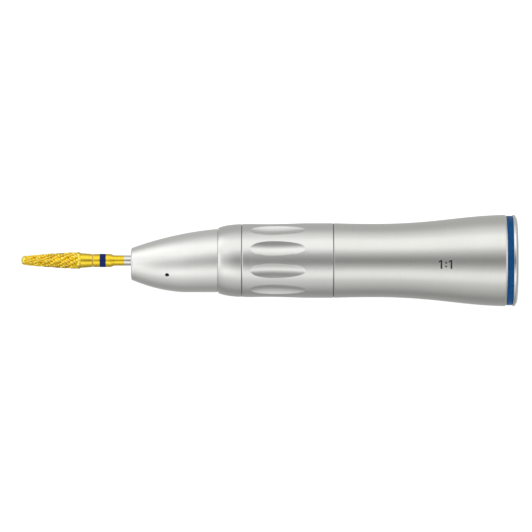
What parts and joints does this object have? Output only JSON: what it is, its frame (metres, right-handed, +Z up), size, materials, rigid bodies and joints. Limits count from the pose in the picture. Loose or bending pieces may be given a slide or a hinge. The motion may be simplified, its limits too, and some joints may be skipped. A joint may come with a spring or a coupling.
{
  "type": "straight dental handpiece",
  "caption": "Slim straight handpiece with an eccentric nose, a scalloped twist ring that opens its collet, a flared rear sheath with a motor socket, and a tapered bur.",
  "frame": {"origin": "centre of the rear face, on the axis, where the motor's spigot enters", "axes": "+X out of the rear socket along the axis, so the bur points to -X; +Z up, with the nose's bulge for the water tube below"},
  "size_m": [0.1126, 0.0208, 0.0208],
  "materials": {
    "satin_steel": "bead-blasted satin stainless steel",
    "turned_steel": "turned stainless steel",
    "hardened_steel": "hardened, ground steel",
    "spring_steel": "drawn spring steel",
    "bearing_steel": "polished bearing steel",
    "bright_steel": "polished stainless steel",
    "gold_coating": "gold-coloured titanium-nitride coating",
    "seal_rubber": "matt black elastomer",
    "blue_ring": "gloss blue",
    "blue_band": "dark blue gloss enamel"
  },
  "bodies": {
    "housing": {"nose_cone": "satin_steel", "nose_lock_screw": "hardened_steel", "spray_nozzle": "bright_steel", "water_tube": "bright_steel", "front_dust_seal": "seal_rubber", "front_collar": "satin_steel", "front_o_ring": "seal_rubber", "rear_o_ring": "seal_rubber", "inner_body": "turned_steel", "detent_ball": "bearing_steel", "detent_spring": "spring_steel", "front_bearing_outer_ring": "bearing_steel", "rear_bearing_outer_ring": "bearing_steel", "preload_washer": "spring_steel", "rear_bearing_nut": "turned_steel", "connector_sleeve": "satin_steel", "sleeve_o_ring": "seal_rubber", "blue_code_ring": "blue_ring", "rear_sheath": "satin_steel"},
    "twister": {"twist_ring": "satin_steel", "cam_sleeve": "hardened_steel", "ring_key_upper": "hardened_steel", "ring_key_lower": "hardened_steel"},
    "pusher": {"pusher_sleeve": "turned_steel", "cam_pin_left": "bearing_steel", "cam_pin_right": "bearing_steel"},
    "rotor": {"spindle": "hardened_steel", "spindle_nut": "turned_steel", "drive_dog": "hardened_steel", "drive_dog_pin": "bearing_steel", "front_bearing_inner_ring": "bearing_steel", "rear_bearing_inner_ring": "bearing_steel"},
    "front_balls": {"front_bearing_balls": "bearing_steel"},
    "rear_balls": {"rear_bearing_balls": "bearing_steel"},
    "chuck": {"collet": "hardened_steel", "collet_spring": "spring_steel", "collet_spring_nut": "turned_steel", "release_collar": "turned_steel", "release_pin": "bearing_steel"},
    "bur": {"bur_head": "gold_coating", "bur_shank": "bright_steel", "bur_color_band": "blue_band"}
  },
  "joints": [
    {"name": "ring_twist", "type": "hinge", "parent": "housing", "child": "twister", "pos_m": [-0.052, 0, 0], "axis": [1, 0, 0], "range_deg": [0, 60]},
    {"name": "pusher_slide", "type": "slide", "parent": "housing", "child": "pusher", "axis": [-1, 0, 0], "range_m": [0, 0.0015]},
    {"name": "spindle_spin", "type": "hinge", "parent": "housing", "child": "rotor", "pos_m": [-0.06, 0, 0], "axis": [1, 0, 0], "continuous": true},
    {"name": "front_balls_orbit", "type": "hinge", "parent": "housing", "child": "front_balls", "pos_m": [-0.0784, 0, 0], "axis": [1, 0, 0], "continuous": true},
    {"name": "rear_balls_orbit", "type": "hinge", "parent": "housing", "child": "rear_balls", "pos_m": [-0.04235, 0, 0], "axis": [1, 0, 0], "continuous": true},
    {"name": "collet_slide", "type": "slide", "parent": "rotor", "child": "chuck", "axis": [-1, 0, 0], "range_m": [0, 0.0012], "deforming": ["collet_spring"]},
    {"name": "bur_pull", "type": "slide", "parent": "chuck", "child": "bur", "axis": [-1, 0, 0], "range_m": [0, 0.02]}
  ],
  "couplings": [
    {"joint": "pusher_slide", "follows": "ring_twist", "m_per_rad": 0.0014324},
    {"joint": "collet_slide", "follows": "ring_twist", "m_per_rad": 0.0011459},
    {"joint": "front_balls_orbit", "follows": "spindle_spin", "ratio": 0.4308},
    {"joint": "rear_balls_orbit", "follows": "spindle_spin", "ratio": 0.4277}
  ]
}
